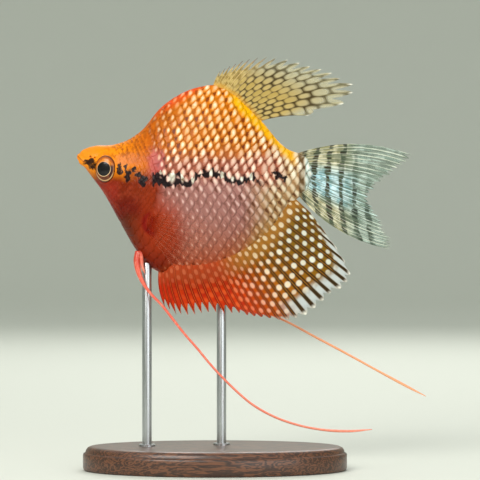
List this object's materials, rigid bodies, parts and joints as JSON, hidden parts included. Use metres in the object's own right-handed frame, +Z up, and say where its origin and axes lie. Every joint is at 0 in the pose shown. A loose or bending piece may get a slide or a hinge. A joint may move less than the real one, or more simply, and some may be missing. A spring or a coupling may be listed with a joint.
{
  "type": "pearl gourami",
  "caption": "Life-size model of a short-bodied pearl gourami with spread fins and long thread-like feelers, on an oval display stand with upright rods.",
  "frame": {"origin": "centre of the stand's flat underside, on the surface that it stands on", "axes": "+Z is up, the fish looks towards -X and its left flank faces -Y"},
  "size_m": [0.0884, 0.04, 0.1033],
  "materials": {
    "fish_skin": "wet, scaled fish skin with white pearl spots, orange-red head and a broken black side stripe",
    "eyes": "glossy eye with a black pupil, a thin cream ring and an orange iris",
    "dorsal_fin": "translucent straw-coloured membrane with pale cells in a dark brown net",
    "anal_fin": "orange-red membrane that turns golden brown with white pearls to the rear",
    "caudal_fin": "clear membrane with dark upright bars and fine branching rays",
    "pectoral_fins": "clear membrane with a red-orange root",
    "feelers": "smooth coral-pink fin threads",
    "stand_wood": "satin-varnished dark walnut",
    "stand_steel": "brushed round steel rod"
  },
  "bodies": {
    "root": {"head": "fish_skin", "trunk": "fish_skin", "tail_stalk": "fish_skin", "eye_left": "eyes", "eye_right": "eyes", "dorsal_fin": "dorsal_fin", "anal_fin": "anal_fin", "caudal_fin": "caudal_fin", "pectoral_fin_left": "pectoral_fins", "pectoral_fin_right": "pectoral_fins", "pelvic_fin_left": "feelers", "pelvic_fin_right": "feelers", "pelvic_thread_left_upper": "feelers", "pelvic_thread_left_lower": "feelers", "pelvic_thread_right_upper": "feelers", "pelvic_thread_right_lower": "feelers", "stand_base": "stand_wood", "stand_rod_front": "stand_steel", "stand_rod_rear": "stand_steel"}
  },
  "joints": []
}
